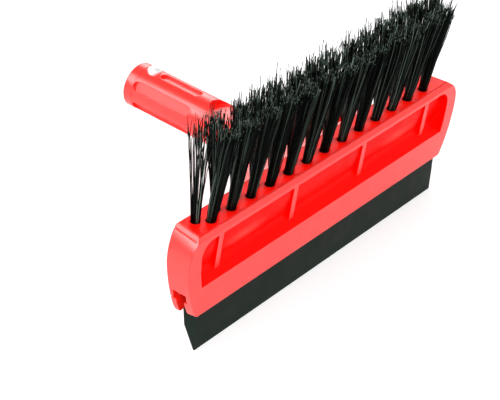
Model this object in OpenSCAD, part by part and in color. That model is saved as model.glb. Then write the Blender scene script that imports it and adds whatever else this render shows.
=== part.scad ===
// Snow brush head with a squeegee blade.
// A moulded head carries two staggered rows of bristle tufts on top, a rubber
// blade in a T-slot below, and a hollow spigot behind that plugs into a handle
// tube and locks there with a spring button.
// X runs along the head, Y backwards along the handle axis, Z up.
// The origin is on the handle axis, at the middle of the spigot's end collar.

/* [Head] */
// Length of the head between its bulging ends, at its front face
head_l = 235.6; // [200:0.1:300]
// Thickness of the head at its top, front to back
head_t = 18.2; // [17:0.1:22]
// Thickness of the head at its bottom edge
head_foot_t = 11.2; // [11:0.2:16]
// Height of the head
head_h = 48; // [45:0.5:60]
// Depth below the top at which the ends bulge most, at the front
end_peak = 14; // [10:1:18]
// How far the front outline of an end draws in from there up to its bevel
shoulder_in = 6; // [3:0.1:8]
// How far the front outline of an end draws in from there down to its foot
foot_in = 8.7; // [5:0.1:12]
// Radius of the rounded lower corners at the front
foot_r = 2.5; // [2:0.5:6]
// How much less each end bulges at the back than at the front
back_draw = 1.4; // [0:0.1:3]
// Depth below the top at which the ends bulge most, at the back
back_peak = 21; // [14:1:24]
// How far the back outline of an end draws in from there up to its bevel
back_shoulder_in = 6.9; // [3:0.1:9]
// How far the back outline of an end draws in from there down to its foot
back_foot_in = 3.4; // [2:0.1:10]
// Radius of the rounded lower corners at the back
back_foot_r = 1; // [0.5:0.1:3]
// Bevel along the front top edge
front_bevel = 2.2; // [1:0.1:2.6]
// Bevel along the back top edge
back_bevel = 0.6; // [0.4:0.1:0.8]
// Height of the bevel at each end
end_bevel = 1.6; // [0.8:0.1:2]
// Width of the bevel at each end
end_bevel_w = 2.1; // [1.8:0.1:3]
// Width of the lines that frame the flat top and the end faces
seam_w = 0.5; // [0.3:0.1:0.6]
// Depth of those lines
seam_d = 0.4; // [0.2:0.1:0.6]

/* [Front recess] */
// Distance of the recess below the top
recess_top = 4.2; // [3.5:0.1:6]
// Distance of the recess's lower edge below the top
recess_foot = 31; // [27:0.5:32]
// Margin between the recess and the bulging end
recess_margin = 9; // [7:0.5:14]
// Depth of the web at the top of the recess
web_top_d = 3.9; // [3:0.1:4]
// Distance below the top at which the web turns back, lower than the tuft holes
web_bend_z = 12.8; // [12.6:0.1:16]
// Depth of the web at its crease
web_crease_d = 6.5; // [5:0.1:7]
// How far the recess's walls lean in down to the web
recess_cove = 3.6; // [2:0.2:5]
// Distance of the crease below the top
crease_z = 26; // [20:0.5:26.5]
// Radius of the recess's upper corners
recess_r = 8; // [3:0.5:10]
// Depth of the stiffening ribs' front edges at their top
rib_d = 2.4; // [1.5:0.1:2.8]
// Depth of the ribs' front edges at the recess's lower edge
rib_foot_d = 4; // [3:0.1:4.6]
// Thickness of each rib
rib_t = 3.6; // [2:0.2:6]
// Number of ribs
rib_n = 4; // [2:1:6]
// Distance of the first rib from the end of the head
rib_margin = 26.8; // [24:0.2:36]

/* [Bristles] */
// Distance from tuft to tuft along a row
tuft_pitch = 15.5; // [14:0.5:18]
// Distance of the first back tuft from the end of the head
tuft_margin = 17; // [14:0.25:20]
// Distance along the head from a back tuft to the next front tuft
row_stagger = 6.1; // [5:0.1:9]
// Distance of the front row behind the front face
front_row_y = 7.6; // [7.4:0.1:7.8]
// Distance of the back row behind the front face
back_row_y = 12.4; // [12:0.1:12.8]
// Radius of each tuft's hole
tuft_hole_r = 2.6; // [2.2:0.05:2.7]
// Depth of each tuft's hole
tuft_hole_d = 11; // [9:0.5:12]
// Radial gap between a tuft's root and its hole
tuft_gap = 0.1; // [0.05:0.05:0.2]
// Length of the bristles above the head
bristle_l = 50; // [40:1:80]
// Radius of a bristle at its root
bristle_r = 0.48; // [0.3:0.02:0.5]
// Spread of a tuft's tips as a multiple of its root
tuft_spread = 2.9; // [1.5:0.1:3.1]
// Forward lean of the front row in degrees
front_lean = 9; // [4:0.5:12]
// Backward lean of the back row in degrees
back_lean = 4.5; // [2:0.5:8]

/* [Staples] */
// Length of the staple that holds a tuft, across its hole
staple_l = 5.8; // [5.6:0.1:6.2]
// Thickness of a staple
staple_t = 0.5; // [0.3:0.05:0.7]
// Height of a staple
staple_h = 1.8; // [1.2:0.1:2.4]
// Height of a staple above the bottom of its hole
staple_lift = 1.2; // [0.8:0.1:1.6]

/* [Blade] */
// Length of the rubber blade
blade_l = 214; // [180:1:218]
// Distance of the slot's middle behind the front face
slot_y = 6.9; // [6.6:0.1:7.2]
// Width of the slot's wide cavity
cavity_w = 8.2; // [7.4:0.1:8.4]
// Height of the slot's wide cavity
cavity_h = 5.6; // [4:0.1:6]
// Width of the slot's neck
neck_w = 4.6; // [3.6:0.1:5.4]
// Height of the jaws on both sides of the neck
jaw_h = 9.4; // [7:0.1:10]
// Gap between the rubber and the slot all round
blade_gap = 0.3; // [0.2:0.05:0.4]
// Reach of the blade below the head
blade_reach = 23; // [16:0.5:30]
// Thickness of the blade below the jaws
blade_t = 8.4; // [6:0.2:8.6]
// Distance of the blade's front side behind the head's front face
blade_front_y = 1.9; // [1.2:0.1:2.4]
// Height of the blade's thick shoulder
shoulder_h = 10.5; // [5:0.5:12]
// Thinning of the shoulder from top to bottom
shoulder_draft = 1; // [0.5:0.1:2.5]
// Thickness of the wiping edge
edge_t = 0.7; // [0.4:0.1:1.5]
// Length of the slit that frees the jaw's tab at each end
tab_l = 9; // [5:0.5:14]
// Height of that slit
tab_slit = 0.8; // [0.4:0.1:1.2]

/* [Spigot] */
// Outer radius of the spigot
spigot_r = 13.1; // [12.5:0.1:16]
// Wall of the spigot
spigot_wall = 4; // [3.5:0.1:4.5]
// Depth of the spigot's bore
bore_d = 49; // [46:1:54]
// Length of the spigot behind the neck
spigot_l = 53; // [50:1:64]
// Length of the plain collar at the spigot's free end
collar_l = 5.6; // [4:0.1:6.5]
// How far the collar stands out of the rest of the spigot
collar_step = 0.2; // [0.1:0.05:0.4]
// Lead-in bevel at the spigot's free end
lead_in = 0.6; // [0.4:0.1:0.9]
// Distance of the handle axis below the head's top
axis_drop = 17.5; // [16.5:0.5:22]
// Number of pockets round the spigot
pocket_n = 6; // [4:1:8]
// Width of each pocket
pocket_w = 5.8; // [3:0.2:6.4]
// Depth of each pocket
pocket_d = 1.6; // [0.8:0.1:2]
// Length of each pocket
pocket_l = 41; // [20:1:42]
// Length of the top pocket, in front of the button
top_pocket_l = 29; // [20:1:31]

/* [Button] */
// Distance of the button from the spigot's free end
button_back = 11.6; // [11.5:0.1:12.5]
// Radius of the button
button_r = 3.9; // [3.5:0.1:4.6]
// Radial gap round the button
button_gap = 0.08; // [0.05:0.01:0.1]
// How far the button stands out of the spigot
button_proud = 3.2; // [2:0.1:3.5]
// Height of the button's dome
dome_h = 2; // [1:0.1:2.5]
// Width of the flange that keeps the button in
flange_w = 1.2; // [0.8:0.1:1.4]
// Thickness of that flange
flange_t = 1; // [0.8:0.1:1.4]
// Thickness of the spring's sheet
leaf_t = 0.5; // [0.3:0.05:0.8]
// Width of the spring's sheet
leaf_w = 7; // [4:0.5:8]
// Radius of the spring's bend, to the middle of the sheet
leaf_bend_r = 4.2; // [3:0.2:4.6]
// Length of the spring in front of the button
leaf_l = 31; // [20:1:31]
// Gap between the spring and what it bears on
leaf_gap = 0.3; // [0.2:0.05:0.5]

/* [Neck] */
// Distance from the head's front face to the root of the spigot
neck_y = 86.4; // [80:1:110]
// Length of the straight neck in front of the spigot
neck_l = 16; // [12:1:24]
// Radius that blends the neck into the fan
flare_r = 20; // [14:1:30]
// Angle at which the fan's sides flare
flare_a = 42; // [35:1:46]
// Height of the fan where it joins the head
fan_head_h = 14; // [13:0.5:18]
// Drop of the fan's top below the head's top, at the head
fan_step = 1.5; // [1:0.1:2]
// Thickness of the fan's outer wall
fan_wall = 3; // [2.5:0.1:4]
// Thickness of the fan's web under the dish
web_t = 3; // [2:0.1:3.5]
// Depth of the dish in the fan's top
dish_d = 3.6; // [2:0.2:4]
// Width of the rim round the dish
dish_rim = 5; // [4:0.2:6]
// Distance of the dish's rounded end in front of the spigot
dish_back = 9.4; // [8:0.2:14]
// Thickness of the ribs under the fan
fan_rib_t = 2.4; // [1.6:0.2:3]
// Distance between the ribs under the fan
fan_rib_gap = 18; // [14:1:22]

/* [Hidden] */
$fn = 64;

// The head lies in front of the origin, with its top above the handle axis.
front_y = -(neck_y + spigot_l - lead_in - collar_l / 2);
top_z = axis_drop;
foot_z = top_z - head_h;
spigot_y = front_y + neck_y;
end_y = spigot_y + spigot_l;
past = 1;
shaft_r = spigot_r - collar_step;

// Outline of an end: two arcs that meet where it bulges most. It holds how far the end
// reaches, the height there, the radius above and the radius below.
function bulge_r(rise, draw) = (rise * rise + draw * draw) / (2 * draw);
function end_shape(x, peak, up, down) =
    [x, top_z - peak, bulge_r(peak - end_bevel, up), bulge_r(head_h - peak, down)];
front_end = end_shape(head_l / 2, end_peak, shoulder_in, foot_in);
back_end = end_shape(head_l / 2 - back_draw, back_peak, back_shoulder_in, back_foot_in);
end_z = front_end[1];
function end_x(z, end = front_end, inset = 0) =
    let (r = z > end[1] ? end[2] : end[3])
    end[0] - r + sqrt(pow(r - inset, 2) - pow(z - end[1], 2));
bevel_z = top_z - end_bevel;
function flat_x(end) = end_x(bevel_z, end) - end_bevel_w;
function head_back(z) = front_y + head_t - (head_t - head_foot_t) * (top_z - z) / head_h;
function mirror_x(points) = [for (i = [len(points) - 1 : -1 : 0]) [-points[i][0], points[i][1]]];
function both_sides(points) = concat(points, mirror_x(points));
function steps(a, b, n) = [for (i = [0 : n]) a + (b - a) * i / n];
function arc(cx, cy, r, a, b, n) = [for (t = steps(a, b, n)) [cx + r * cos(t), cy + r * sin(t)]];

// Bristle rows, the front one staggered by half a pitch.
back_n = floor((head_l - 2 * tuft_margin) / tuft_pitch) + 1;
front_n = back_n - 1;
hole_foot = top_z - tuft_hole_d;
staple_z = hole_foot + staple_lift;
function back_x(i) = (i - (back_n - 1) / 2) * tuft_pitch;
function front_x(i) = back_x(i) + row_stagger;

// Slot for the blade.
slot_mid = front_y + slot_y;
cavity_foot = foot_z + jaw_h;
cavity_top = cavity_foot + cavity_h;

// Spigot and button, measured from the handle axis.
bore_r = shaft_r - spigot_wall;
button_y = end_y - button_back;
pocket_end = end_y - lead_in - collar_l - collar_step;
flange_r = button_r + flange_w;
flange_top = sqrt(pow(bore_r, 2) - pow(flange_r, 2)) - 2 * button_gap;
flange_foot = flange_top - flange_t;
button_top = shaft_r + button_proud;
dome_r = (pow(button_r, 2) + pow(dome_h, 2)) / (2 * dome_h);
leaf_foot = leaf_gap - sqrt(pow(bore_r, 2) - pow(leaf_w / 2, 2));

// Fan: half its outline, turned about the handle axis and cut flat above and below.
flare_y = spigot_y - neck_l;
fan_y0 = head_back(top_z - fan_head_h) - 0.2;
function fan_side(inset) =
    let (bend = arc(shaft_r + flare_r, -flare_y, flare_r + inset, 180, 180 - flare_a, 8),
         last = bend[8],
         y1 = -fan_y0)
    concat(bend, [[last[0] + (y1 - last[1]) * tan(flare_a), y1]]);
fan_top = shaft_r;
dish_floor = fan_top - dish_d;
web_foot = dish_floor - web_t;

// Stands an X-Z outline up, with its thickness along +Y from y.
module front_slab(y, depth) {
    translate([0, y + depth, 0]) rotate([90, 0, 0]) linear_extrude(depth) children();
}

// Stands a Y-Z outline up, with its length centred on X.
module side_slab(length) {
    rotate([90, 0, 90]) linear_extrude(length, center = true) children();
}

// The head seen from the front: a bar with bulging ends, bevelled tops and rounded feet.
module head_outline(end, r) {
    foot_x = end_x(foot_z + r, end, r);
    low_x = end[0] - end[3];
    foot_a = atan2(foot_z + r - end[1], foot_x - low_x);
    top_a = asin((bevel_z - end[1]) / end[2]);
    foot = arc(foot_x, foot_z + r, r, -90, foot_a, 6);
    low = arc(low_x, end[1], end[3], foot_a, 0, 14);
    high = arc(end[0] - end[2], end[1], end[2], 0, top_a, 12);
    side = concat(foot, [for (i = [1 : 14]) low[i]], [for (i = [1 : 12]) high[i]],
                  [[flat_x(end), top_z]]);
    polygon(both_sides(side));
}

// The outline changes from the front of the head to its back.
module head_bar() {
    hull() {
        front_slab(front_y - past, past) head_outline(front_end, foot_r);
        front_slab(front_y + head_t, 0.01) head_outline(back_end, back_foot_r);
    }
}

// Half the width of the head's flat top behind the front face.
function top_x(y) = flat_x(front_end) + (flat_x(back_end) - flat_x(front_end)) * y / head_t;

// A thin line that frames the flat top.
module top_seam() {
    y0 = front_bevel;
    y1 = head_t - back_bevel;
    translate([0, 0, top_z - seam_d]) linear_extrude(head_h) difference() {
        polygon(both_sides([[top_x(y0), front_y + y0], [top_x(y1), front_y + y1]]));
        polygon(both_sides([
            [top_x(y0 + seam_w) - seam_w, front_y + y0 + seam_w],
            [top_x(y1 - seam_w) - seam_w, front_y + y1 - seam_w]
        ]));
    }
}

// A thin line along the foot of the bevel at each end.
module end_seams() {
    x0 = end_x(bevel_z, front_end) - seam_d;
    x1 = end_x(bevel_z, back_end) - seam_d;
    for (side = [-1, 1])
        translate([0, 0, bevel_z - seam_w]) linear_extrude(seam_w)
            polygon([
                [side * x0, front_y + front_bevel],
                [side * head_l, front_y + front_bevel],
                [side * head_l, front_y + head_t],
                [side * x1, front_y + head_t]
            ]);
}

// The head seen from its end: it thins towards the blade.
module head_section() {
    polygon([
        [front_y, foot_z],
        [front_y, top_z - front_bevel],
        [front_y + front_bevel, top_z],
        [front_y + head_t - back_bevel, top_z],
        [head_back(top_z - back_bevel), top_z - back_bevel],
        [head_back(foot_z), foot_z]
    ]);
}

// Front view of the long recess, with rounded upper corners.
module recess_outline(inset) {
    margin = recess_margin + inset;
    z0 = top_z - recess_foot + inset;
    z1 = top_z - recess_top - recess_r;
    side = [for (z = steps(z0, end_z, 8)) [end_x(z) - margin, z]];
    upper = [for (z = steps(end_z, z1, 3)) [end_x(z) - margin, z]];
    corner = arc(end_x(z1) - margin - recess_r + inset, z1, recess_r - inset, 10, 90, 8);
    polygon(both_sides(concat(side, [for (i = [1 : 3]) upper[i]], corner)));
}

// End view of the recess: a web, a rounded crease, and a floor that slopes to the front.
module recess_section() {
    y0 = front_y + web_top_d;
    y1 = front_y + web_crease_d;
    z0 = top_z - recess_top;
    z1 = top_z - crease_z;
    z2 = top_z - recess_foot;
    bend = [y0, top_z - web_bend_z];
    upper = [y1, z1] + (bend - [y1, z1]) * 0.2;
    lower = [y1, z1] + ([front_y, z2] - [y1, z1]) * 0.3;
    crease = [for (t = steps(0, 1, 6))
        pow(1 - t, 2) * upper + 2 * t * (1 - t) * [y1, z1] + pow(t, 2) * lower];
    polygon(concat(
        [[front_y - past, z0], [y0, z0], [y0, bend.y]], crease, [[front_y, z2], [front_y - past, z2]]
    ));
}

// The recess's walls lean in more and more towards the web.
module front_recess() {
    depth = web_crease_d + past;
    lean = [0, 0, 0.06, 0.25, 1];
    reach = [-past, 0, 0.4, 0.7, 1];
    intersection() {
        for (i = [0 : 3]) hull() {
            front_slab(front_y + (i == 0 ? -past : reach[i] * depth), 0.01)
                recess_outline(lean[i] * recess_cove);
            front_slab(front_y + reach[i + 1] * depth, 0.01)
                recess_outline(lean[i + 1] * recess_cove);
        }
        side_slab(head_l) recess_section();
    }
}

module rib_section() {
    back = front_y + web_crease_d + past;
    z0 = top_z - recess_top + past;
    z1 = top_z - recess_foot;
    polygon([[front_y + rib_d, z0], [back, z0], [back, z1], [front_y + rib_foot_d, z1]]);
}

// Ribs stand in the recess and stop short of the front face.
module recess_ribs() {
    span = head_l - 2 * rib_margin;
    for (i = [0 : rib_n - 1]) {
        x = -span / 2 + span * i / (rib_n - 1);
        intersection() {
            translate([x, 0, 0]) side_slab(rib_t) rib_section();
            side_slab(head_l) head_section();
        }
    }
}

// Blind hole for one tuft.
module tuft_hole(x, y) {
    translate([x, front_y + y, hole_foot]) cylinder(r = tuft_hole_r, h = tuft_hole_d + past);
}

// A staple lies across its hole and bites into both sides of it.
module staple(x, y) {
    translate([x - staple_l / 2, front_y + y - staple_t / 2, staple_z])
        cube([staple_l, staple_t, staple_h]);
}

module all_holes() {
    for (i = [0 : front_n - 1]) tuft_hole(front_x(i), front_row_y);
    for (i = [0 : back_n - 1]) tuft_hole(back_x(i), back_row_y);
}

module all_staples() {
    for (i = [0 : front_n - 1]) staple(front_x(i), front_row_y);
    for (i = [0 : back_n - 1]) staple(back_x(i), back_row_y);
}

// T-slot along the whole foot of the head, with a slit that frees a tab at each end.
module blade_slot() {
    through = head_l + 2 * past;
    translate([-through / 2, slot_mid - cavity_w / 2, cavity_foot]) cube([through, cavity_w, cavity_h]);
    translate([-through / 2, slot_mid - neck_w / 2, foot_z - past]) cube([through, neck_w, jaw_h + 2 * past]);
    tab_x = end_x(cavity_foot) - tab_l;
    for (side = [-1, 1])
        translate([side > 0 ? tab_x : -tab_x - head_t, slot_mid, cavity_foot])
            cube([head_t, head_t, tab_slit]);
}

// Solid of the fan's outline, shrunk by an inset, between its top and its sloping foot.
module fan_solid(inset) {
    side = fan_side(inset);
    intersection() {
        rotate([90, 0, 0]) rotate_extrude()
            polygon(concat([[0, side[0][1]]], side, [[0, side[9][1]]]));
        side_slab(head_l) fan_profile();
    }
}

// The fan seen from the side: its foot rises from the spigot to the head.
module fan_profile() {
    polygon([
        [spigot_y, -shaft_r],
        [spigot_y, fan_top],
        [flare_y, fan_top],
        [fan_y0, top_z - fan_step],
        [fan_y0, top_z - fan_head_h]
    ]);
}

// Shallow dish in the fan's top, with a rounded end towards the spigot.
module fan_dish() {
    side = fan_side(dish_rim);
    edge = [for (p = side) [p[0], -p[1]]];
    back = front_y + head_t + dish_rim / 2;
    last = edge[8];
    reach = [last[0] + (last[1] - back) * tan(flare_a), back];
    dish_r = shaft_r - dish_rim;
    translate([0, 0, dish_floor]) linear_extrude(head_h) {
        polygon(both_sides(concat([reach], [for (i = [8 : -1 : 0]) edge[i]],
                                  [[dish_r, spigot_y - dish_back]])));
        translate([0, spigot_y - dish_back]) circle(dish_r);
    }
}

// Space under the web, between the ribs.
module fan_hollow() {
    deep = spigot_y - dish_back;
    intersection() {
        rotate([90, 0, 0]) rotate_extrude() {
            side = fan_side(fan_wall);
            polygon(concat([[0, -deep]], [[side[0][0], -deep]], side, [[0, side[9][1]]]));
        }
        translate([-head_l / 2, front_y + head_t, web_foot - head_h]) cube([head_l, neck_y, head_h]);
    }
}

module fan_ribs() {
    reach = floor(head_l / 2 / fan_rib_gap / 2);
    intersection() {
        fan_solid(0);
        for (i = [-reach : reach])
            translate([i * fan_rib_gap - fan_rib_t / 2, fan_y0, -head_h])
                cube([fan_rib_t, neck_y, 2 * head_h]);
    }
}

// Handle spigot with a collar, a lead-in and a bore that is closed towards the head.
module spigot() {
    rotate([-90, 0, 0]) {
        translate([0, 0, spigot_y - neck_l]) cylinder(r = shaft_r, h = neck_l + spigot_l - lead_in);
        translate([0, 0, end_y - lead_in - collar_l]) cylinder(r = spigot_r, h = collar_l);
        translate([0, 0, end_y - lead_in]) cylinder(r1 = spigot_r, r2 = spigot_r - lead_in, h = lead_in);
    }
}

module spigot_cuts() {
    translate([0, end_y - bore_d, 0]) rotate([-90, 0, 0]) cylinder(r = bore_r, h = bore_d + past);
    for (i = [0 : pocket_n - 1]) {
        top = i == 0;
        length = top ? top_pocket_l : pocket_l;
        back = top ? button_y - button_r - button_gap - pocket_d : pocket_end;
        rotate([0, 360 * i / pocket_n, 0]) translate([0, 0, shaft_r - pocket_d]) linear_extrude(spigot_r) {
            translate([-pocket_w / 2, back - length + pocket_w / 2]) square([pocket_w, length - pocket_w]);
            translate([0, back - pocket_w / 2]) circle(pocket_w / 2);
            translate([0, back - length + pocket_w / 2]) circle(pocket_w / 2);
        }
    }
    translate([0, button_y, 0]) cylinder(r = button_r + button_gap, h = 2 * spigot_r);
}

module brush_head() {
    color([0.85, 0.06, 0.05]) difference() {
        union() {
            difference() {
                intersection() {
                    head_bar();
                    side_slab(2 * head_l) head_section();
                }
                front_recess();
            }
            recess_ribs();
            difference() {
                union() {
                    fan_solid(0);
                    spigot();
                }
                fan_dish();
                fan_hollow();
            }
            difference() {
                fan_ribs();
                fan_dish();
            }
        }
        all_holes();
        all_staples();
        top_seam();
        end_seams();
        blade_slot();
        spigot_cuts();
    }
}

// Rubber blade: a T-head in the slot, a thick shoulder and a thin wiping edge.
module squeegee_blade() {
    head_w = cavity_w / 2 - blade_gap;
    stem_w = neck_w / 2 - blade_gap;
    y0 = front_y + blade_front_y;
    y1 = y0 - shoulder_draft / 2;
    z0 = foot_z - blade_gap;
    z1 = foot_z - shoulder_h;
    z2 = foot_z - blade_reach;
    color([0.07, 0.08, 0.08]) side_slab(blade_l) polygon([
        [slot_mid - head_w, cavity_top - blade_gap],
        [slot_mid - head_w, cavity_foot + blade_gap],
        [slot_mid - stem_w, cavity_foot + blade_gap],
        [slot_mid - stem_w, z0],
        [y0, z0],
        [y1, z1],
        [y1 - edge_t / 2, z2],
        [y1 + edge_t / 2, z2],
        [y1 + blade_t - shoulder_draft, z1],
        [y0 + blade_t, z0],
        [slot_mid + stem_w, z0],
        [slot_mid + stem_w, cavity_foot + blade_gap],
        [slot_mid + head_w, cavity_foot + blade_gap],
        [slot_mid + head_w, cavity_top - blade_gap]
    ]);
}

// Domed button with a flange that stays inside the bore.
module snap_button() {
    color([0.9, 0.9, 0.92]) translate([0, button_y, 0]) {
        translate([0, 0, flange_foot]) cylinder(r = flange_r, h = flange_t);
        translate([0, 0, flange_foot]) cylinder(r = button_r, h = button_top - dome_h - flange_foot);
        intersection() {
            translate([0, 0, button_top - dome_r]) sphere(dome_r);
            translate([0, 0, button_top - dome_h]) cylinder(r = 2 * button_r, h = 2 * dome_h);
        }
    }
}

// Bent leaf: its lower leg lies in the bore and its upper leg carries the button.
module button_spring() {
    y0 = button_y - leaf_l;
    y1 = button_y + button_r / 2;
    z0 = leaf_foot + leaf_t / 2;
    z1 = flange_foot - leaf_gap - leaf_t / 2;
    zc = z0 + leaf_bend_r;
    outer = arc(y0, zc, leaf_bend_r + leaf_t / 2, 270, 90, 16);
    inner = arc(y0, zc, leaf_bend_r - leaf_t / 2, 90, 270, 16);
    color([0.6, 0.62, 0.64]) side_slab(leaf_w)
        polygon(concat(
            [[y1, z0 - leaf_t / 2]],
            outer,
            [[y1, z1 + leaf_t / 2]],
            [[y1, z1 - leaf_t / 2]],
            inner,
            [[y1, z0 + leaf_t / 2]]
        ));
}

module anchor_staples() {
    color([0.7, 0.71, 0.73]) all_staples();
}

// Strands of a tuft stand in three rings and spread without crossing.
strand_n = [1, 5, 9];
root_r = tuft_hole_r - tuft_gap;
ring_gap = (root_r - bristle_r) / 2 - 0.02;
function strand_list() =
    [for (k = [0 : 2]) for (i = [0 : strand_n[k] - 1]) [k * ring_gap, 360 * i / strand_n[k] + 20 * k]];
function strand_height(i, seed) =
    bristle_l * (1.02 + 0.1 * sin(seed * 77 + i * 131) + 0.05 * sin(i * 53 + seed * 29));

// Three corners of a strand at a share of its height.
function strand_ring(s, i, seed, lean, share) =
    let (h = strand_height(i, seed) * share,
         r = s[0] * (1 + (tuft_spread - 1) * share * (0.7 + 0.3 * share)),
         w = bristle_r * (1 - 0.2 * share))
    [for (a = [0, 120, 240]) [
        r * cos(s[1]) + w * cos(s[1] + a),
        r * sin(s[1]) + w * sin(s[1] + a) - h * tan(lean),
        h - (share == 0 ? 2 * bristle_r : 0)
    ]];

module strands(seed, lean) {
    list = strand_list();
    points = [for (i = [0 : len(list) - 1]) for (k = [0 : 2])
        each strand_ring(list[i], i, seed, lean, k / 2)];
    faces = [for (i = [0 : len(list) - 1])
        let (o = 9 * i)
        each concat(
            [[o, o + 1, o + 2], [o + 8, o + 7, o + 6]],
            [for (k = [0, 3]) for (j = [0 : 2])
                let (p = o + k + j, q = o + k + (j + 1) % 3)
                each [[p, p + 3, q + 3], [p, q + 3, q]]]
        )];
    polyhedron(points, faces);
}

// A tuft: strands fused into a root that the staple holds in its hole.
module tuft(x, y, seed, lean) {
    color([0.05, 0.06, 0.055]) translate([x, front_y + y, 0]) {
        difference() {
            translate([0, 0, hole_foot + tuft_gap])
                cylinder(r = root_r, h = tuft_hole_d - tuft_gap - bristle_r);
            translate([-root_r - past, -staple_t / 2 - tuft_gap, staple_z - tuft_gap])
                cube([2 * root_r + 2 * past, staple_t + 2 * tuft_gap, staple_h + 2 * tuft_gap]);
        }
        translate([0, 0, top_z - bristle_r]) strands(seed, lean);
    }
}

brush_head();
squeegee_blade();
snap_button();
button_spring();
anchor_staples();
for (i = [1 : front_n])
    tuft(front_x(i - 1), front_row_y, i, front_lean);
for (i = [1 : back_n])
    tuft(back_x(i - 1), back_row_y, i + 40, -back_lean);
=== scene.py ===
"""Dresses the snow brush head from model.glb: bristle tufts, rubber blade, moulded head and spring button.
"""

import logging
import math
from dataclasses import dataclass, field
from enum import Enum

import bmesh
import bpy
import numpy as np
from mathutils import Matrix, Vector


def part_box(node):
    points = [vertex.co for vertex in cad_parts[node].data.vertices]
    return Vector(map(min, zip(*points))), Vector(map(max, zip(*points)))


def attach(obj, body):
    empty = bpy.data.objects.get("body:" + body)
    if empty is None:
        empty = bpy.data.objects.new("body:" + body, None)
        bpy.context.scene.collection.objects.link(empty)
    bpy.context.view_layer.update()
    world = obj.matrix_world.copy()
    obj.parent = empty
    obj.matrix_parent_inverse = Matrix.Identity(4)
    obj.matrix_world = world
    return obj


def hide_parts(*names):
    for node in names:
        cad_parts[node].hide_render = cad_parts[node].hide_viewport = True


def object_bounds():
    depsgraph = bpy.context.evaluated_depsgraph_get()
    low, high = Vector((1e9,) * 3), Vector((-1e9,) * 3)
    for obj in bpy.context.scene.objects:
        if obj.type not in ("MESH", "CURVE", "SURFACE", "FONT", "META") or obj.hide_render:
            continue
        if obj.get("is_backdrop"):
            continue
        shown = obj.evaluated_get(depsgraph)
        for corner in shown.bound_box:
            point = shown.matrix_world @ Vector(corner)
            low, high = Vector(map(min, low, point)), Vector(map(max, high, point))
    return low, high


LOG = logging.getLogger("snow_brush")
MM = 0.001
GOLDEN_ANGLE = math.radians(137.508)
Colour = tuple[float, float, float]
Vector3 = tuple[float, float, float]


class Body(Enum):
    """The rigid body that the new pieces ride on."""

    HEAD = "head_body"


class Row(Enum):
    """The two staggered bristle rows, named as their nodes are."""

    FRONT = "front_tuft_"
    BACK = "back_tuft_"


# ---------------------------------------------------------------- materials


class NodeSheet:
    """A short hand for building one material's node tree."""

    def __init__(self, name: str) -> None:
        """Starts an empty node tree with its output.

        Args:
            name: the material's name.
        """
        self.material = bpy.data.materials.new(name)
        self.material.use_nodes = True
        self.tree = self.material.node_tree
        self.tree.nodes.clear()
        self.output = self.add("ShaderNodeOutputMaterial")

    def add(self, kind: str, **values: object) -> bpy.types.Node:
        """Adds a node and sets its properties, or its inputs by name.

        Args:
            kind: Blender's node type.
            **values: properties, or inputs with underscores for spaces.

        Returns:
            The new node.
        """
        node = self.tree.nodes.new(kind)
        for key, value in values.items():
            if hasattr(node, key):
                setattr(node, key, value)
            else:
                node.inputs[key.replace("_", " ")].default_value = value
        return node

    def link(self, source: bpy.types.NodeSocket, target: bpy.types.NodeSocket) -> None:
        """Joins two sockets."""
        self.tree.links.new(source, target)

    def coordinates(self, scale: Vector3) -> bpy.types.NodeSocket:
        """Object coordinates, scaled along each axis.

        Args:
            scale: the factors along X, Y and Z.

        Returns:
            The scaled vector's socket.
        """
        place = self.add("ShaderNodeTexCoord")
        mapping = self.add("ShaderNodeMapping")
        mapping.inputs["Scale"].default_value = scale
        self.link(place.outputs["Object"], mapping.inputs["Vector"])
        return mapping.outputs["Vector"]

    def noise(self, vector: bpy.types.NodeSocket, size: float, detail: float = 2.0) -> bpy.types.NodeSocket:
        """Noise from 0 to 1.

        Args:
            vector: where the noise is read.
            size: its scale.
            detail: its number of finer layers.

        Returns:
            The noise's factor.
        """
        node = self.add("ShaderNodeTexNoise", Scale=size, Detail=detail)
        self.link(vector, node.inputs["Vector"])
        return node.outputs["Fac"]

    def spread(self, factor: bpy.types.NodeSocket, low: float, high: float,
               start: float = 0.3, end: float = 0.7) -> bpy.types.NodeSocket:
        """Maps a factor from start..end to low..high.

        Args:
            factor: the value that is mapped.
            low: the result at start.
            high: the result at end.
            start: the factor's lower end.
            end: the factor's upper end.

        Returns:
            The mapped value.
        """
        node = self.add("ShaderNodeMapRange")
        for name, value in (("From Min", start), ("From Max", end), ("To Min", low), ("To Max", high)):
            node.inputs[name].default_value = value
        self.link(factor, node.inputs["Value"])
        return node.outputs["Result"]

    def blend(self, factor: bpy.types.NodeSocket, first: Colour, second: Colour) -> bpy.types.NodeSocket:
        """A colour between two.

        Args:
            factor: 0 gives the first colour and 1 the second.
            first: the first colour.
            second: the second colour.

        Returns:
            The mixed colour.
        """
        node = self.add("ShaderNodeMix", data_type="RGBA")
        node.inputs[6].default_value = (*first, 1.0)
        node.inputs[7].default_value = (*second, 1.0)
        self.link(factor, node.inputs[0])
        return node.outputs[2]

    def bump(self, height: bpy.types.NodeSocket, depth: float, strength: float,
             normal: bpy.types.NodeSocket | None = None) -> bpy.types.NodeSocket:
        """A surface normal raised by a height.

        Args:
            height: the height's factor.
            depth: the height's size in metres.
            strength: how much of it shows.
            normal: the normal below, if any.

        Returns:
            The new normal.
        """
        node = self.add("ShaderNodeBump", Strength=strength, Distance=depth)
        self.link(height, node.inputs["Height"])
        if normal is not None:
            self.link(normal, node.inputs["Normal"])
        return node.outputs["Normal"]


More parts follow.
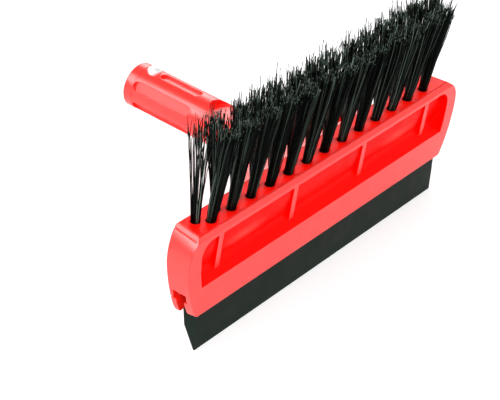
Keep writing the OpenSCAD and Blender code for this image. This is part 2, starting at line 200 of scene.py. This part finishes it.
@dataclass(frozen=True)
class MouldedPlastic:
    """Glossy injection-moulded plastic with faint flow marks and softened edges, and painted reflection
    patches where a glow colour is given.
    """

    name: str = "red_moulded_plastic"
    deep: Colour = (0.90, 0.006, 0.002)
    light: Colour = (0.97, 0.012, 0.006)
    edge_radius: float = 0.5 * MM
    edge_samples: int = 8
    roughness: tuple[float, float] = (0.28, 0.36)
    haze: float = 160.0
    flow: Vector3 = (18.0, 40.0, 40.0)
    sink: float = 45.0
    sink_depth: float = 0.12 * MM
    sink_share: float = 0.3
    refraction: float = 1.62
    reflection: float = 0.5
    # glow is the colour of a painted reflection: pale patches mixed into the base colour on the recess's
    # web.
    glow: Colour | None = None
    painted_reflection_place: tuple[float, float] = (68.0 * MM, -1.0 * MM)
    painted_reflection_reach: tuple[float, float] = (20.0 * MM, 5.0 * MM)
    painted_reflection_share: float = 0.5

    def painted_reflection_patches(self, sheet: NodeSheet) -> bpy.types.NodeSocket:
        """Where the painted reflection lies: soft ovals on both sides of the middle, strongest at their
        centres and 0 outside.

        Args:
            sheet: the material's nodes.

        Returns:
            The mask's factor.
        """
        place = sheet.add("ShaderNodeTexCoord")
        parts = sheet.add("ShaderNodeSeparateXYZ")
        sheet.link(place.outputs["Object"], parts.inputs[0])
        across = sheet.add("ShaderNodeMath", operation="ABSOLUTE")
        sheet.link(parts.outputs["X"], across.inputs[0])
        oval = sheet.add("ShaderNodeCombineXYZ")
        for source, middle, reach, target in (
                (across.outputs[0], self.painted_reflection_place[0], self.painted_reflection_reach[0], "X"),
                (parts.outputs["Z"], self.painted_reflection_place[1], self.painted_reflection_reach[1], "Z")):
            away = sheet.add("ShaderNodeMath", operation="SUBTRACT")
            away.inputs[1].default_value = middle
            part = sheet.add("ShaderNodeMath", operation="DIVIDE")
            part.inputs[1].default_value = reach
            sheet.link(source, away.inputs[0])
            sheet.link(away.outputs[0], part.inputs[0])
            sheet.link(part.outputs[0], oval.inputs[target])
        size = sheet.add("ShaderNodeVectorMath", operation="LENGTH")
        sheet.link(oval.outputs[0], size.inputs[0])
        return sheet.spread(size.outputs["Value"], self.painted_reflection_share, 0.0, 0.0, 1.0)

    def material(self) -> bpy.types.Material:
        """Builds the material."""
        sheet = NodeSheet(self.name)
        shader = sheet.add("ShaderNodeBsdfPrincipled")
        place = sheet.coordinates((1.0, 1.0, 1.0))
        flow = sheet.noise(sheet.coordinates(self.flow), 1.0, 3.0)
        colour = sheet.blend(sheet.spread(flow, 0.0, 1.0), self.deep, self.light)
        # Mixes the painted reflection patches into the base colour.
        if self.glow is not None:
            mix = sheet.add("ShaderNodeMix", data_type="RGBA")
            sheet.link(self.painted_reflection_patches(sheet), mix.inputs[0])
            sheet.link(colour, mix.inputs[6])
            mix.inputs[7].default_value = (*self.glow, 1.0)
            colour = mix.outputs[2]
        sheet.link(colour, shader.inputs["Base Color"])
        haze = sheet.noise(place, self.haze, 3.0)
        sheet.link(sheet.spread(haze, *self.roughness), shader.inputs["Roughness"])
        edge = sheet.add("ShaderNodeBevel", samples=self.edge_samples)
        edge.inputs["Radius"].default_value = self.edge_radius
        sink = sheet.noise(place, self.sink, 1.0)
        normal = sheet.bump(sink, self.sink_depth, self.sink_share, edge.outputs["Normal"])
        sheet.link(normal, shader.inputs["Normal"])
        shader.inputs["IOR"].default_value = self.refraction
        shader.inputs["Specular IOR Level"].default_value = self.reflection
        sheet.link(shader.outputs["BSDF"], sheet.output.inputs["Surface"])
        return sheet.material


@dataclass(frozen=True)
class BladeRubber:
    """Extruded rubber: fine lines along its length and a dusty bloom."""

    name: str = "black_blade_rubber"
    deep: Colour = (0.0015, 0.006, 0.0032)
    bloom: Colour = (0.004, 0.012, 0.007)
    roughness: tuple[float, float] = (0.42, 0.6)
    reflection: float = 0.09
    lines: Vector3 = (6.0, 900.0, 900.0)
    line_depth: float = 0.08 * MM
    line_share: float = 0.5
    dust: Vector3 = (60.0, 60.0, 60.0)

    def material(self) -> bpy.types.Material:
        """Builds the material."""
        sheet = NodeSheet(self.name)
        shader = sheet.add("ShaderNodeBsdfPrincipled")
        lines = sheet.noise(sheet.coordinates(self.lines), 1.0, 2.0)
        dust = sheet.noise(sheet.coordinates(self.dust), 1.0, 4.0)
        colour = sheet.blend(sheet.spread(dust, 0.0, 1.0), self.deep, self.bloom)
        sheet.link(colour, shader.inputs["Base Color"])
        sheet.link(sheet.spread(dust, *self.roughness), shader.inputs["Roughness"])
        shader.inputs["Specular IOR Level"].default_value = self.reflection
        sheet.link(sheet.bump(lines, self.line_depth, self.line_share), shader.inputs["Normal"])
        sheet.link(shader.outputs["BSDF"], sheet.output.inputs["Surface"])
        return sheet.material


@dataclass(frozen=True)
class BrightMetal:
    """Plated or rolled metal with fine scratches."""

    name: str
    colour: Colour
    dull: Colour
    roughness: tuple[float, float]
    grain: Vector3 = (300.0, 300.0, 300.0)
    grain_depth: float = 0.01 * MM
    grain_share: float = 0.3
    cloud: Vector3 = (90.0, 90.0, 90.0)

    def material(self) -> bpy.types.Material:
        """Builds the material."""
        sheet = NodeSheet(self.name)
        shader = sheet.add("ShaderNodeBsdfPrincipled", Metallic=1.0)
        grain = sheet.noise(sheet.coordinates(self.grain), 1.0, 3.0)
        cloud = sheet.noise(sheet.coordinates(self.cloud), 1.0, 2.0)
        colour = sheet.blend(sheet.spread(cloud, 0.0, 1.0), self.colour, self.dull)
        sheet.link(colour, shader.inputs["Base Color"])
        sheet.link(sheet.spread(grain, *self.roughness), shader.inputs["Roughness"])
        sheet.link(sheet.bump(grain, self.grain_depth, self.grain_share), shader.inputs["Normal"])
        sheet.link(shader.outputs["BSDF"], sheet.output.inputs["Surface"])
        return sheet.material


@dataclass(frozen=True)
class BristlePlastic:
    """Black bristle plastic with a painted highlight on the cut ends, and a lighter strand here and there.
    """

    name: str = "black_bristle_plastic"
    deep: Colour = (0.0005, 0.0012, 0.0008)
    light: Colour = (0.125, 0.17, 0.14)
    # tip is the colour of a painted highlight on the cut ends.
    tip: Colour = (0.085, 0.12, 0.095)
    tip_highlight_share: float = 0.8
    tip_highlight_start: float = 0.985
    roughness: float = 0.35
    reflection: float = 0.04

    def material(self) -> bpy.types.Material:
        """Builds the material, which reads each strand's shade and the way along it."""
        sheet = NodeSheet(self.name)
        shader = sheet.add("ShaderNodeBsdfPrincipled", Roughness=self.roughness)
        shader.inputs["Specular IOR Level"].default_value = self.reflection
        shade = sheet.add("ShaderNodeAttribute", attribute_name="shade").outputs["Fac"]
        along = sheet.add("ShaderNodeAttribute", attribute_name="along").outputs["Fac"]
        body = sheet.blend(shade, self.deep, self.light)
        # The last part of each strand, its cut end, gets the painted highlight.
        mix = sheet.add("ShaderNodeMix", data_type="RGBA")
        sheet.link(sheet.spread(along, 0.0, self.tip_highlight_share, self.tip_highlight_start, 1.0), mix.inputs[0])
        sheet.link(body, mix.inputs[6])
        mix.inputs[7].default_value = (*self.tip, 1.0)
        sheet.link(mix.outputs[2], shader.inputs["Base Color"])
        sheet.link(shader.outputs["BSDF"], sheet.output.inputs["Surface"])
        return sheet.material


@dataclass(frozen=True)
class StudioFloor:
    """A pale floor that shows white to the eye and keeps the part's soft shadow."""

    name: str = "pale_floor"
    colour: Colour = (0.80, 0.80, 0.80)
    lift: float = 0.30

    def material(self) -> bpy.types.Material:
        """Builds the material."""
        sheet = NodeSheet(self.name)
        plain = sheet.add("ShaderNodeBsdfDiffuse")
        plain.inputs["Color"].default_value = (*self.colour, 1.0)
        glow = sheet.add("ShaderNodeEmission", Strength=self.lift)
        both = sheet.add("ShaderNodeAddShader")
        path = sheet.add("ShaderNodeLightPath")
        pick = sheet.add("ShaderNodeMixShader")
        seen = sheet.add("ShaderNodeMath", operation="MAXIMUM")
        sheet.link(plain.outputs[0], both.inputs[0])
        sheet.link(glow.outputs[0], both.inputs[1])
        sheet.link(path.outputs["Is Camera Ray"], seen.inputs[0])
        sheet.link(path.outputs["Is Glossy Ray"], seen.inputs[1])
        sheet.link(seen.outputs[0], pick.inputs[0])
        sheet.link(plain.outputs[0], pick.inputs[1])
        sheet.link(both.outputs[0], pick.inputs[2])
        sheet.link(pick.outputs[0], sheet.output.inputs["Surface"])
        return sheet.material


# ---------------------------------------------------------------- meshes


def put_mesh(name: str, points: np.ndarray, faces: np.ndarray, smooth: bool = True) -> bpy.types.Object:
    """Makes an object at the origin from arrays.

    Args:
        name: the object's name.
        points: its corners, in metres, one row each.
        faces: the corners of each face, one row each, all with as many corners.
        smooth: whether its faces are shaded smoothly.

    Returns:
        The new object.
    """
    mesh = bpy.data.meshes.new(name)
    count, size = faces.shape
    mesh.vertices.add(len(points))
    mesh.vertices.foreach_set("co", np.ascontiguousarray(points, dtype=np.float32).ravel())
    mesh.loops.add(count * size)
    mesh.loops.foreach_set("vertex_index", np.ascontiguousarray(faces, dtype=np.int32).ravel())
    mesh.polygons.add(count)
    mesh.polygons.foreach_set("loop_start", np.arange(0, count * size, size, dtype=np.int32))
    mesh.update(calc_edges=True)
    mesh.polygons.foreach_set("use_smooth", np.full(count, smooth))
    mesh.validate()
    thing = bpy.data.objects.new(name, mesh)
    bpy.context.scene.collection.objects.link(thing)
    return thing


def put_attribute(thing: bpy.types.Object, name: str, values: np.ndarray) -> None:
    """Stores one number per corner on a piece.

    Args:
        thing: the piece.
        name: the attribute's name.
        values: one value for each corner.
    """
    layer = thing.data.attributes.new(name, "FLOAT", "POINT")
    layer.data.foreach_set("value", np.ascontiguousarray(values, dtype=np.float32).ravel())


def node_points(node: str) -> np.ndarray:
    """The corners of a CAD node, one row each, in metres."""
    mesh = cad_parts[node].data
    flat = np.empty(len(mesh.vertices) * 3, dtype=np.float32)
    mesh.vertices.foreach_get("co", flat)
    return flat.reshape(-1, 3)


def tube_faces(rings: int, sides: int) -> np.ndarray:
    """Faces of one closed tube: triangles between its rings and across both ends.

    Args:
        rings: how many rings the tube has.
        sides: how many corners each ring has.

    Returns:
        The corners of each face, three a row.
    """
    ring, side = np.meshgrid(np.arange(rings - 1), np.arange(sides), indexing="ij")
    here = ring * sides + side
    beside = ring * sides + (side + 1) % sides
    quads = np.stack([here, beside, beside + sides, here + sides], axis=-1).reshape(-1, 4)
    walls = np.concatenate([quads[:, [0, 1, 2]], quads[:, [0, 2, 3]]])
    fan = np.stack([np.zeros(sides - 2, dtype=int), np.arange(1, sides - 1), np.arange(2, sides)], axis=-1)
    return np.concatenate([walls, fan[:, ::-1], fan + (rings - 1) * sides])


# ---------------------------------------------------------------- bristles


@dataclass
class BristleRow:
    """One row of bristle tufts, each tuft a piece of its own."""

    row: Row
    lean: float
    strands: int = 100
    strand_radius: float = 0.29 * MM
    taper: float = 0.25
    length: float = 52.0 * MM
    length_spread: float = 0.026
    stray_share: float = 0.05
    stray_reach: tuple[float, float] = (1.05, 1.16)
    fan_out: float = 2.25
    fan_power: float = 1.1
    bend: float = 0.7 * MM
    end_bend: float = 2.0 * MM
    sway: float = 0.2 * MM
    lean_spread: float = 0.012
    tip_kick: float = 0.45 * MM
    sunk: float = 1.2 * MM
    foot_slice: float = 2.0 * MM
    thin_end: float = 1.0
    end_lean: float = 0.0
    rings: int = 9
    sides: int = 4
    shade_power: float = 8.0
    hairs: int = 1
    hair_rings: int = 4
    hair_sides: int = 3
    hair_start: tuple[float, float] = (0.3, 0.95)
    hair_reach: tuple[float, float, float] = (0.6 * MM, 5.5 * MM, 6.0)
    hair_turn: float = 0.14
    hair_thickness: tuple[float, ...] = (0.6, 0.55, 0.48, 0.35)
    hair_along: tuple[float, float] = (0.85, 0.95)
    seed: int = 7
    pieces: list[bpy.types.Object] = field(default_factory=list)

    def nodes(self) -> list[str]:
        """The names of the row's tufts, in order."""
        names = [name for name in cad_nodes() if name.startswith(self.row.value)]
        return sorted(names, key=lambda name: int(name.rsplit("_", 1)[1]))

    def root(self, node: str) -> tuple[np.ndarray, float]:
        """Where a tuft's root stands.

        Args:
            node: the tuft's node.

        Returns:
            The middle of the root at the head's surface, and the root's radius.
        """
        points = node_points(node)
        foot = points[points[:, 2] < points[:, 2].min() + self.foot_slice]
        low, high = foot.min(axis=0), foot.max(axis=0)
        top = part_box("brush_head")[1][2]
        middle = np.array([(low[0] + high[0]) / 2, (low[1] + high[1]) / 2, top])
        return middle, float(high[0] - low[0]) / 2

    def paths(self, node: str, rng: np.random.Generator) -> np.ndarray:
        """Middle lines of a tuft's strands.

        A strand starts at a point of a sunflower spiral on the root's disc. On its way up the
        distance from the tuft's own leaning line grows with fan_power of the height, and a slow
        bend of its own, growing with the square of the height, is added. In a row with a thin
        end, the first tuft has fewer strands, a stronger bend and a lean along the row.

        Args:
            node: the tuft's node.
            rng: where the strands' differences come from.

        Returns:
            The points, as strands by rings by three.
        """
        middle, radius = self.root(node)
        first = node.endswith("_1") and self.thin_end < 1
        strands = int(self.strands * self.thin_end) if first else self.strands
        index = np.arange(strands)
        angle = index * GOLDEN_ANGLE + rng.uniform(0, 2 * math.pi)
        out = (radius - self.strand_radius) * np.sqrt((index + 0.5) / strands)
        flat = np.stack([out * np.cos(angle), out * np.sin(angle)], axis=-1)
        length = self.length * (1 + rng.normal(0, self.length_spread, strands))
        strays = rng.random(strands) < self.stray_share
        length = np.where(strays, length * rng.uniform(*self.stray_reach, strands), length)
        share = np.linspace(0, 1, self.rings)[None, :, None]
        height = share * length[:, None, None]
        bend = rng.normal(0, self.end_bend if first else self.bend, (strands, 1, 2)) * share ** 2
        sway = rng.normal(0, self.sway, (strands, 1, 2)) * np.sin(share * 2 * math.pi)
        tilt = np.array([0.0, -math.tan(math.radians(self.lean))])
        tilt += rng.normal(0, self.lean_spread, 2)
        if first:
            tilt[0] += self.end_lean
        fan = 1 + (self.fan_out - 1) * share ** self.fan_power
        side = flat[:, None, :] * fan + bend + sway + tilt * height
        side[:, -1] += rng.normal(0, self.tip_kick, (strands, 2))
        rise = height + middle[2] - self.sunk * (1 - share)
        return np.concatenate([side + middle[:2], rise], axis=-1)

    def hair_paths(self, paths: np.ndarray, rng: np.random.Generator) -> np.ndarray:
        """Middle lines of the fine hairs into which the tips split.

        A hair leaves its strand shortly before the tip, keeps the strand's direction and turns
        outwards with the square of its own length.

        Args:
            paths: the strands' middle lines.
            rng: where the hairs' differences come from.

        Returns:
            The points, as hairs by rings by three.
        """
        before = np.repeat(paths[:, -2], self.hairs, axis=0)
        tip = np.repeat(paths[:, -1], self.hairs, axis=0)
        low = rng.uniform(*self.hair_start, (len(tip), 1))
        start = before * (1 - low) + tip * low
        way = tip - before
        way /= np.linalg.norm(way, axis=1, keepdims=True)
        count = len(start)
        least, more, power = self.hair_reach
        reach = least + more * rng.random((count, 1, 1)) ** power
        turn = rng.normal(0, self.hair_turn, (count, 1, 3))
        share = np.linspace(0, 1, self.hair_rings)[None, :, None]
        return start[:, None, :] + reach * share * (way[:, None, :] + turn * share)

    def tubes(self, paths: np.ndarray, radius: np.ndarray, sides: int) -> tuple[np.ndarray, np.ndarray]:
        """Thin tubes along middle lines.

        Each ring lies flat, as a polygon of the given radius about its middle.

        Args:
            paths: the middle lines, as tubes by rings by three.
            radius: the radius at each ring of each tube.
            sides: how many corners each ring has.

        Returns:
            The corners and the faces.
        """
        count, rings, _ = paths.shape
        angle = np.arange(sides) * 2 * math.pi / sides
        wheel = np.stack([np.cos(angle), np.sin(angle), np.zeros(sides)], axis=-1)
        points = paths[:, :, None, :] + wheel[None, None] * radius[:, :, None, None]
        base = tube_faces(rings, sides)
        faces = base[None] + (np.arange(count) * rings * sides)[:, None, None]
        return points.reshape(-1, 3), faces.reshape(-1, 3)

    def build(self, finish: bpy.types.Material) -> None:
        """Builds every tuft of the row and puts it in its node's place.

        Args:
            finish: the bristles' material.
        """
        rng = np.random.default_rng(self.seed)
        for node in self.nodes():
            paths = self.paths(node, rng)
            strands = len(paths)
            share = np.linspace(0, 1, self.rings)
            thick = self.strand_radius * (1 - self.taper * share)
            points, faces = self.tubes(paths, np.repeat(thick[None], strands, axis=0), self.sides)
            hair = self.hair_paths(paths, rng)
            fine = self.strand_radius * np.array(self.hair_thickness)
            hair_thick = np.repeat(fine[None], len(hair), axis=0)
            hair_points, hair_faces = self.tubes(hair, hair_thick, self.hair_sides)
            shade = rng.random(strands) ** self.shade_power
            hair_share = np.linspace(*self.hair_along, self.hair_rings)
            hair_shade = np.repeat(shade, self.hairs)
            along = np.concatenate([
                np.tile(np.repeat(share, self.sides), strands),
                np.tile(np.repeat(hair_share, self.hair_sides), len(hair)),
            ])
            shades = np.concatenate([
                np.repeat(shade, self.rings * self.sides),
                np.repeat(hair_shade, self.hair_rings * self.hair_sides),
            ])
            piece = put_mesh(
                node.replace("tuft", "bristles"),
                np.concatenate([points, hair_points]),
                np.concatenate([faces, hair_faces + len(points)]),
            )
            put_attribute(piece, "along", along)
            put_attribute(piece, "shade", shades)
            piece.data.materials.append(finish)
            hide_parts(node)
            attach(piece, Body.HEAD.value)
            self.pieces.append(piece)
        LOG.info("%s: %d tufts of %d strands", self.row.name.lower(), len(self.pieces), self.strands)


# ---------------------------------------------------------------- hard pieces


def face_vectors(mesh: bpy.types.Mesh, name: str) -> np.ndarray:
    """One vector for each face, such as its center or its normal."""
    flat = np.empty(len(mesh.polygons) * 3, dtype=np.float32)
    mesh.polygons.foreach_get(name, flat)
    return flat.reshape(-1, 3)


def softened_normals(mesh: bpy.types.Mesh, crease: float) -> np.ndarray:
    """Normals that shade curves smoothly and leave flat faces and sharp edges alone.

    At each corner of a face the normals of the faces round its point are added, each times its
    area, apart from those that turn by more than the crease from the face itself.

    Args:
        mesh: a merged mesh of triangles.
        crease: the sharpest turn that is smoothed, in degrees.

    Returns:
        One normal for each corner.
    """
    point = np.empty(len(mesh.loops), dtype=np.int32)
    mesh.loops.foreach_get("vertex_index", point)
    area = np.empty(len(mesh.polygons), dtype=np.float32)
    mesh.polygons.foreach_get("area", area)
    normal = face_vectors(mesh, "normal")
    order = np.argsort(point, kind="stable")
    face = order // 3
    _, start, count = np.unique(point[order], return_index=True, return_counts=True)
    around = np.repeat(count, count)
    one = np.repeat(np.arange(len(order)), around)
    step = np.arange(len(one)) - np.repeat(np.cumsum(around) - around, around)
    other = np.repeat(np.repeat(start, count), around) + step
    likeness = np.einsum("ij,ij->i", normal[face[one]], normal[face[other]])
    near = likeness > math.cos(math.radians(crease))
    part = normal[face[other]] * (area[face[other]] * near)[:, None]
    total = np.stack([np.bincount(one, part[:, axis], len(order)) for axis in range(3)], axis=-1)
    total /= np.maximum(np.linalg.norm(total, axis=1, keepdims=True), 1e-20)
    result = np.empty_like(total)
    result[order] = total
    return result


@dataclass
class MouldedHead:
    """The moulded head: its node's own shape, merged and shaded smoothly, with painted shade in its recess
    and painted light on its flat top.
    """

    finish: MouldedPlastic = field(default_factory=MouldedPlastic)
    # Painted shade: the recess gets a more saturated copy of the same plastic with almost no reflection,
    # and painted reflection patches on its web.
    shaded_recess_finish: MouldedPlastic = field(default_factory=lambda: MouldedPlastic(
        "red_recess_painted_shade", deep=(0.9, 0.001, 0.0), light=(0.97, 0.002, 0.0),
        roughness=(0.3, 0.42), reflection=0.03, glow=(1.0, 0.13, 0.11)))
    # Painted light: the flat top round the tufts gets a copy of the same plastic with a brighter red and
    # little reflection.
    top: MouldedPlastic = field(default_factory=lambda: MouldedPlastic(
        "red_top_painted_light", deep=(0.97, 0.004, 0.002), light=(1.0, 0.008, 0.004), reflection=0.05))
    recess: tuple[float, float, float] = (4.2 * MM, 31.0 * MM, 7.2 * MM)
    rib_front: tuple[float, float] = (2.4 * MM, 4.0 * MM)
    rib_slack: float = 0.2 * MM
    skin: float = 0.1 * MM
    edge_slack: float = 0.05 * MM
    facing_front: float = 0.9
    facing_up: float = 0.99
    top_slack: float = 0.5 * MM
    end_margin: float = 8.5 * MM
    crease_depth: float = 6.08 * MM
    node: str = "brush_head"
    merge: float = 0.002 * MM
    crease: float = 14.0

    def in_recess(self, mesh: bpy.types.Mesh) -> np.ndarray:
        """Which triangles line the front recess, apart from the ribs' front edges.

        Args:
            mesh: the merged head.

        Returns:
            True for each triangle whose middle lies in the recess.
        """
        low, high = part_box(self.node)
        x, y, z = face_vectors(mesh, "center").T
        depth = y - low[1]
        down = high[2] - z
        top, foot, back = self.recess
        share = (down - top) / (foot - top)
        rib = self.rib_front[0] + (self.rib_front[1] - self.rib_front[0]) * share
        faces_front = face_vectors(mesh, "normal")[:, 1] < -self.facing_front
        front_edge = faces_front & (depth < rib + self.rib_slack)
        crease = depth > self.crease_depth
        behind = (depth > self.skin) & (depth < back)
        between = (down > top - self.edge_slack) & (down < foot + self.edge_slack)
        inside = behind & between & (np.abs(x) < high[0] - self.end_margin)
        return inside & ~front_edge & ~crease

    def on_top(self, mesh: bpy.types.Mesh) -> np.ndarray:
        """Which triangles lie on the flat top round the tufts, True for each that does.

        Args:
            mesh: the merged head.

        Returns:
            True for each triangle of the flat top.
        """
        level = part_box(self.node)[1][2] - self.top_slack
        up = face_vectors(mesh, "normal")[:, 2] > self.facing_up
        return up & (face_vectors(mesh, "center")[:, 2] > level)

    def build(self) -> None:
        """Copies the node, joins its loose triangles and stands in for it."""
        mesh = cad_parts[self.node].data.copy()
        mesh.name = "moulded_head"
        shape = bmesh.new()
        shape.from_mesh(mesh)
        bmesh.ops.remove_doubles(shape, verts=shape.verts, dist=self.merge)
        bmesh.ops.triangulate(shape, faces=shape.faces)
        shape.to_mesh(mesh)
        shape.free()
        mesh.polygons.foreach_set("use_smooth", np.full(len(mesh.polygons), True))
        mesh.normals_split_custom_set(softened_normals(mesh, self.crease))
        mesh.materials.clear()
        mesh.materials.append(self.finish.material())
        mesh.materials.append(self.shaded_recess_finish.material())
        mesh.materials.append(self.top.material())
        # Slot 1 takes the recess's painted shade, slot 2 the flat top's painted light.
        slot = self.in_recess(mesh) + 2 * self.on_top(mesh)
        mesh.polygons.foreach_set("material_index", slot.astype(np.int32))
        piece = bpy.data.objects.new("moulded_head", mesh)
        bpy.context.scene.collection.objects.link(piece)
        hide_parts(self.node)
        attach(piece, Body.HEAD.value)
        LOG.info("head: %d triangles", len(mesh.polygons))


@dataclass
class HardPieces:
    """The CAD nodes that keep their own shape and get a finish."""

    finishes: dict[str, object]

    def dress(self) -> None:
        """Puts each node's material in its slots."""
        for node, finish in self.finishes.items():
            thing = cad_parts[node]
            thing.data.materials.clear()
            thing.data.materials.append(finish.material())
            LOG.info("%s: %s", node, finish.name)


# ---------------------------------------------------------------- studio


@dataclass(frozen=True)
class Lamp:
    """A square soft lamp: its place, the point it faces, its width and its power in watts."""

    name: str
    place: Vector3
    aim: Vector3
    size: float
    power: float

    def hang(self) -> None:
        """Puts the lamp into the scene."""
        data = bpy.data.lights.new(self.name, "AREA")
        data.shape = "SQUARE"
        data.size = self.size
        data.energy = self.power
        thing = bpy.data.objects.new(self.name, data)
        back = np.array(self.place) - np.array(self.aim)
        back /= np.linalg.norm(back)
        side = np.cross((0.0, 0.0, 1.0), back)
        side /= np.linalg.norm(side)
        turn = Matrix((side, np.cross(back, side), back)).transposed().to_4x4()
        turn.translation = self.place
        thing.matrix_world = turn
        bpy.context.scene.collection.objects.link(thing)


@dataclass
class Studio:
    """Camera, floor, world and lamps."""

    eye: Vector3 = (-641.15 * MM, -538.88 * MM, 491.17 * MM)
    azimuth: float = -144.6
    elevation: float = 33.9
    roll: float = 6.265
    lens: float = 122.4
    film: float = 36.0
    near: float = 0.01
    floor_size: float = 6.0
    floor_drop: float = 0.3 * MM
    surround: float = 0.8
    sheen: tuple[Vector3, float, float, float] = ((0.74, 0.53, 0.40), 0.93, 0.99, 6.0)
    overhead: tuple[Vector3, float, float, float] = ((0.0, 0.0, 1.0), 0.68, 0.88, 0.15)
    lamps: tuple[Lamp, ...] = (
        Lamp("key", (-1.1, -0.5, 1.3), (0.0, -0.1, 0.0), 0.9, 14.0),
        Lamp("fill", (0.6, -1.4, 0.7), (0.0, -0.1, 0.0), 1.0, 4.0),
        Lamp("floor_side", (-0.55, 0.45, 0.5), (-0.30, 0.15, -0.07), 0.5, 6.0),
    )

    def camera(self) -> None:
        """Sets up the camera, turned by its azimuth and elevation in degrees and then by its roll."""
        data = bpy.data.cameras.new("camera")
        data.lens = self.lens
        data.sensor_width = self.film
        data.clip_start = self.near
        thing = bpy.data.objects.new("camera", data)
        around, above, roll = (math.radians(x) for x in (self.azimuth, self.elevation, self.roll))
        flat = math.cos(above)
        back = np.array([flat * math.cos(around), flat * math.sin(around), math.sin(above)])
        level = np.array([-math.sin(around), math.cos(around), 0.0])
        upright = np.cross(back, level)
        right = math.cos(roll) * level + math.sin(roll) * upright
        up = math.cos(roll) * upright - math.sin(roll) * level
        turn = Matrix((right, up, back)).transposed().to_4x4()
        turn.translation = self.eye
        thing.matrix_world = turn
        bpy.context.scene.collection.objects.link(thing)
        bpy.context.scene.camera = thing

    def floor(self) -> None:
        """Lays the floor under the part's lowest point."""
        low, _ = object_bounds()
        level = low[2] - self.floor_drop
        size = self.floor_size
        corners = ((-size, -size), (size, -size), (size, size), (-size, size))
        points = np.array([(*corner, level) for corner in corners])
        thing = put_mesh("floor", points, np.array([[0, 1, 2, 3]]), smooth=False)
        thing.data.materials.append(StudioFloor().material())
        thing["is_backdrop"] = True

    def reflected(self, tree: bpy.types.NodeTree) -> bpy.types.NodeSocket:
        """How bright the reflections see the surround: brightest low behind, dim overhead.

        Args:
            tree: the world's node tree.

        Returns:
            The strength.
        """
        place = tree.nodes.new("ShaderNodeTexCoord").outputs["Generated"]
        product = tree.nodes.new("ShaderNodeMath")
        product.operation = "MULTIPLY"
        for index, (side, start, end, level) in enumerate((self.sheen, self.overhead)):
            toward = tree.nodes.new("ShaderNodeVectorMath")
            toward.operation = "DOT_PRODUCT"
            toward.inputs[1].default_value = side
            step = tree.nodes.new("ShaderNodeMapRange")
            ends = (("From Min", start), ("From Max", end), ("To Min", 1.0), ("To Max", level))
            for name, value in ends:
                step.inputs[name].default_value = value
            tree.links.new(place, toward.inputs[0])
            tree.links.new(toward.outputs["Value"], step.inputs["Value"])
            tree.links.new(step.outputs["Result"], product.inputs[index])
        return product.outputs[0]

    def world(self) -> None:
        """A white surround, even for the soft light and livelier for the reflections."""
        world = bpy.data.worlds.new("surround")
        world.use_nodes = True
        tree = world.node_tree
        tree.nodes.clear()
        output = tree.nodes.new("ShaderNodeOutputWorld")
        background = tree.nodes.new("ShaderNodeBackground")
        background.inputs["Color"].default_value = (1.0, 1.0, 1.0, 1.0)
        path = tree.nodes.new("ShaderNodeLightPath")
        glossy = tree.nodes.new("ShaderNodeMix")
        glossy.inputs[2].default_value = self.surround
        tree.links.new(path.outputs["Is Glossy Ray"], glossy.inputs[0])
        tree.links.new(self.reflected(tree), glossy.inputs[3])
        seen = tree.nodes.new("ShaderNodeMix")
        seen.inputs[3].default_value = 1.0
        tree.links.new(path.outputs["Is Camera Ray"], seen.inputs[0])
        tree.links.new(glossy.outputs[0], seen.inputs[2])
        tree.links.new(seen.outputs[0], background.inputs["Strength"])
        tree.links.new(background.outputs[0], output.inputs["Surface"])
        bpy.context.scene.world = world

    def build(self) -> None:
        """Builds the whole studio."""
        self.camera()
        self.floor()
        self.world()
        for lamp in self.lamps:
            lamp.hang()


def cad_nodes() -> list[str]:
    """The names of the CAD nodes."""
    return list(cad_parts)


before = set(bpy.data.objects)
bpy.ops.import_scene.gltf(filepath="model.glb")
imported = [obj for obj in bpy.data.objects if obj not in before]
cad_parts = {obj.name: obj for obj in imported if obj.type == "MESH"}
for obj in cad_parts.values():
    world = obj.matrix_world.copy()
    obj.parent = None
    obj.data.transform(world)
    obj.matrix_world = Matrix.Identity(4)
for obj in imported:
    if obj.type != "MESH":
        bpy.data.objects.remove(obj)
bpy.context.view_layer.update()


def main() -> None:
    """Builds and dresses every piece, then the studio."""
    logging.basicConfig(level=logging.INFO, format="%(name)s %(message)s")
    bpy.context.scene.view_settings.view_transform = "Standard"
    chrome = BrightMetal("button_chrome", (0.93, 0.93, 0.94), (0.86, 0.87, 0.88), (0.5, 0.62))
    spring = BrightMetal(
        "spring_steel", (0.5, 0.51, 0.53), (0.4, 0.41, 0.43), (0.25, 0.4), (40.0, 900.0, 900.0))
    staple = BrightMetal("staple_steel", (0.55, 0.55, 0.57), (0.45, 0.45, 0.47), (0.3, 0.45))
    HardPieces({
        "squeegee_blade": BladeRubber(),
        "snap_button": chrome,
        "button_spring": spring,
        "anchor_staples": staple,
    }).dress()
    MouldedHead().build()
    bristles = BristlePlastic().material()
    BristleRow(Row.FRONT, lean=7.5, length=53.5 * MM, seed=11).build(bristles)
    BristleRow(
        Row.BACK, lean=-4.0, fan_out=2.6, seed=29, thin_end=0.45, end_lean=0.035).build(bristles)
    Studio().build()


if __name__ == "__main__":
    main()
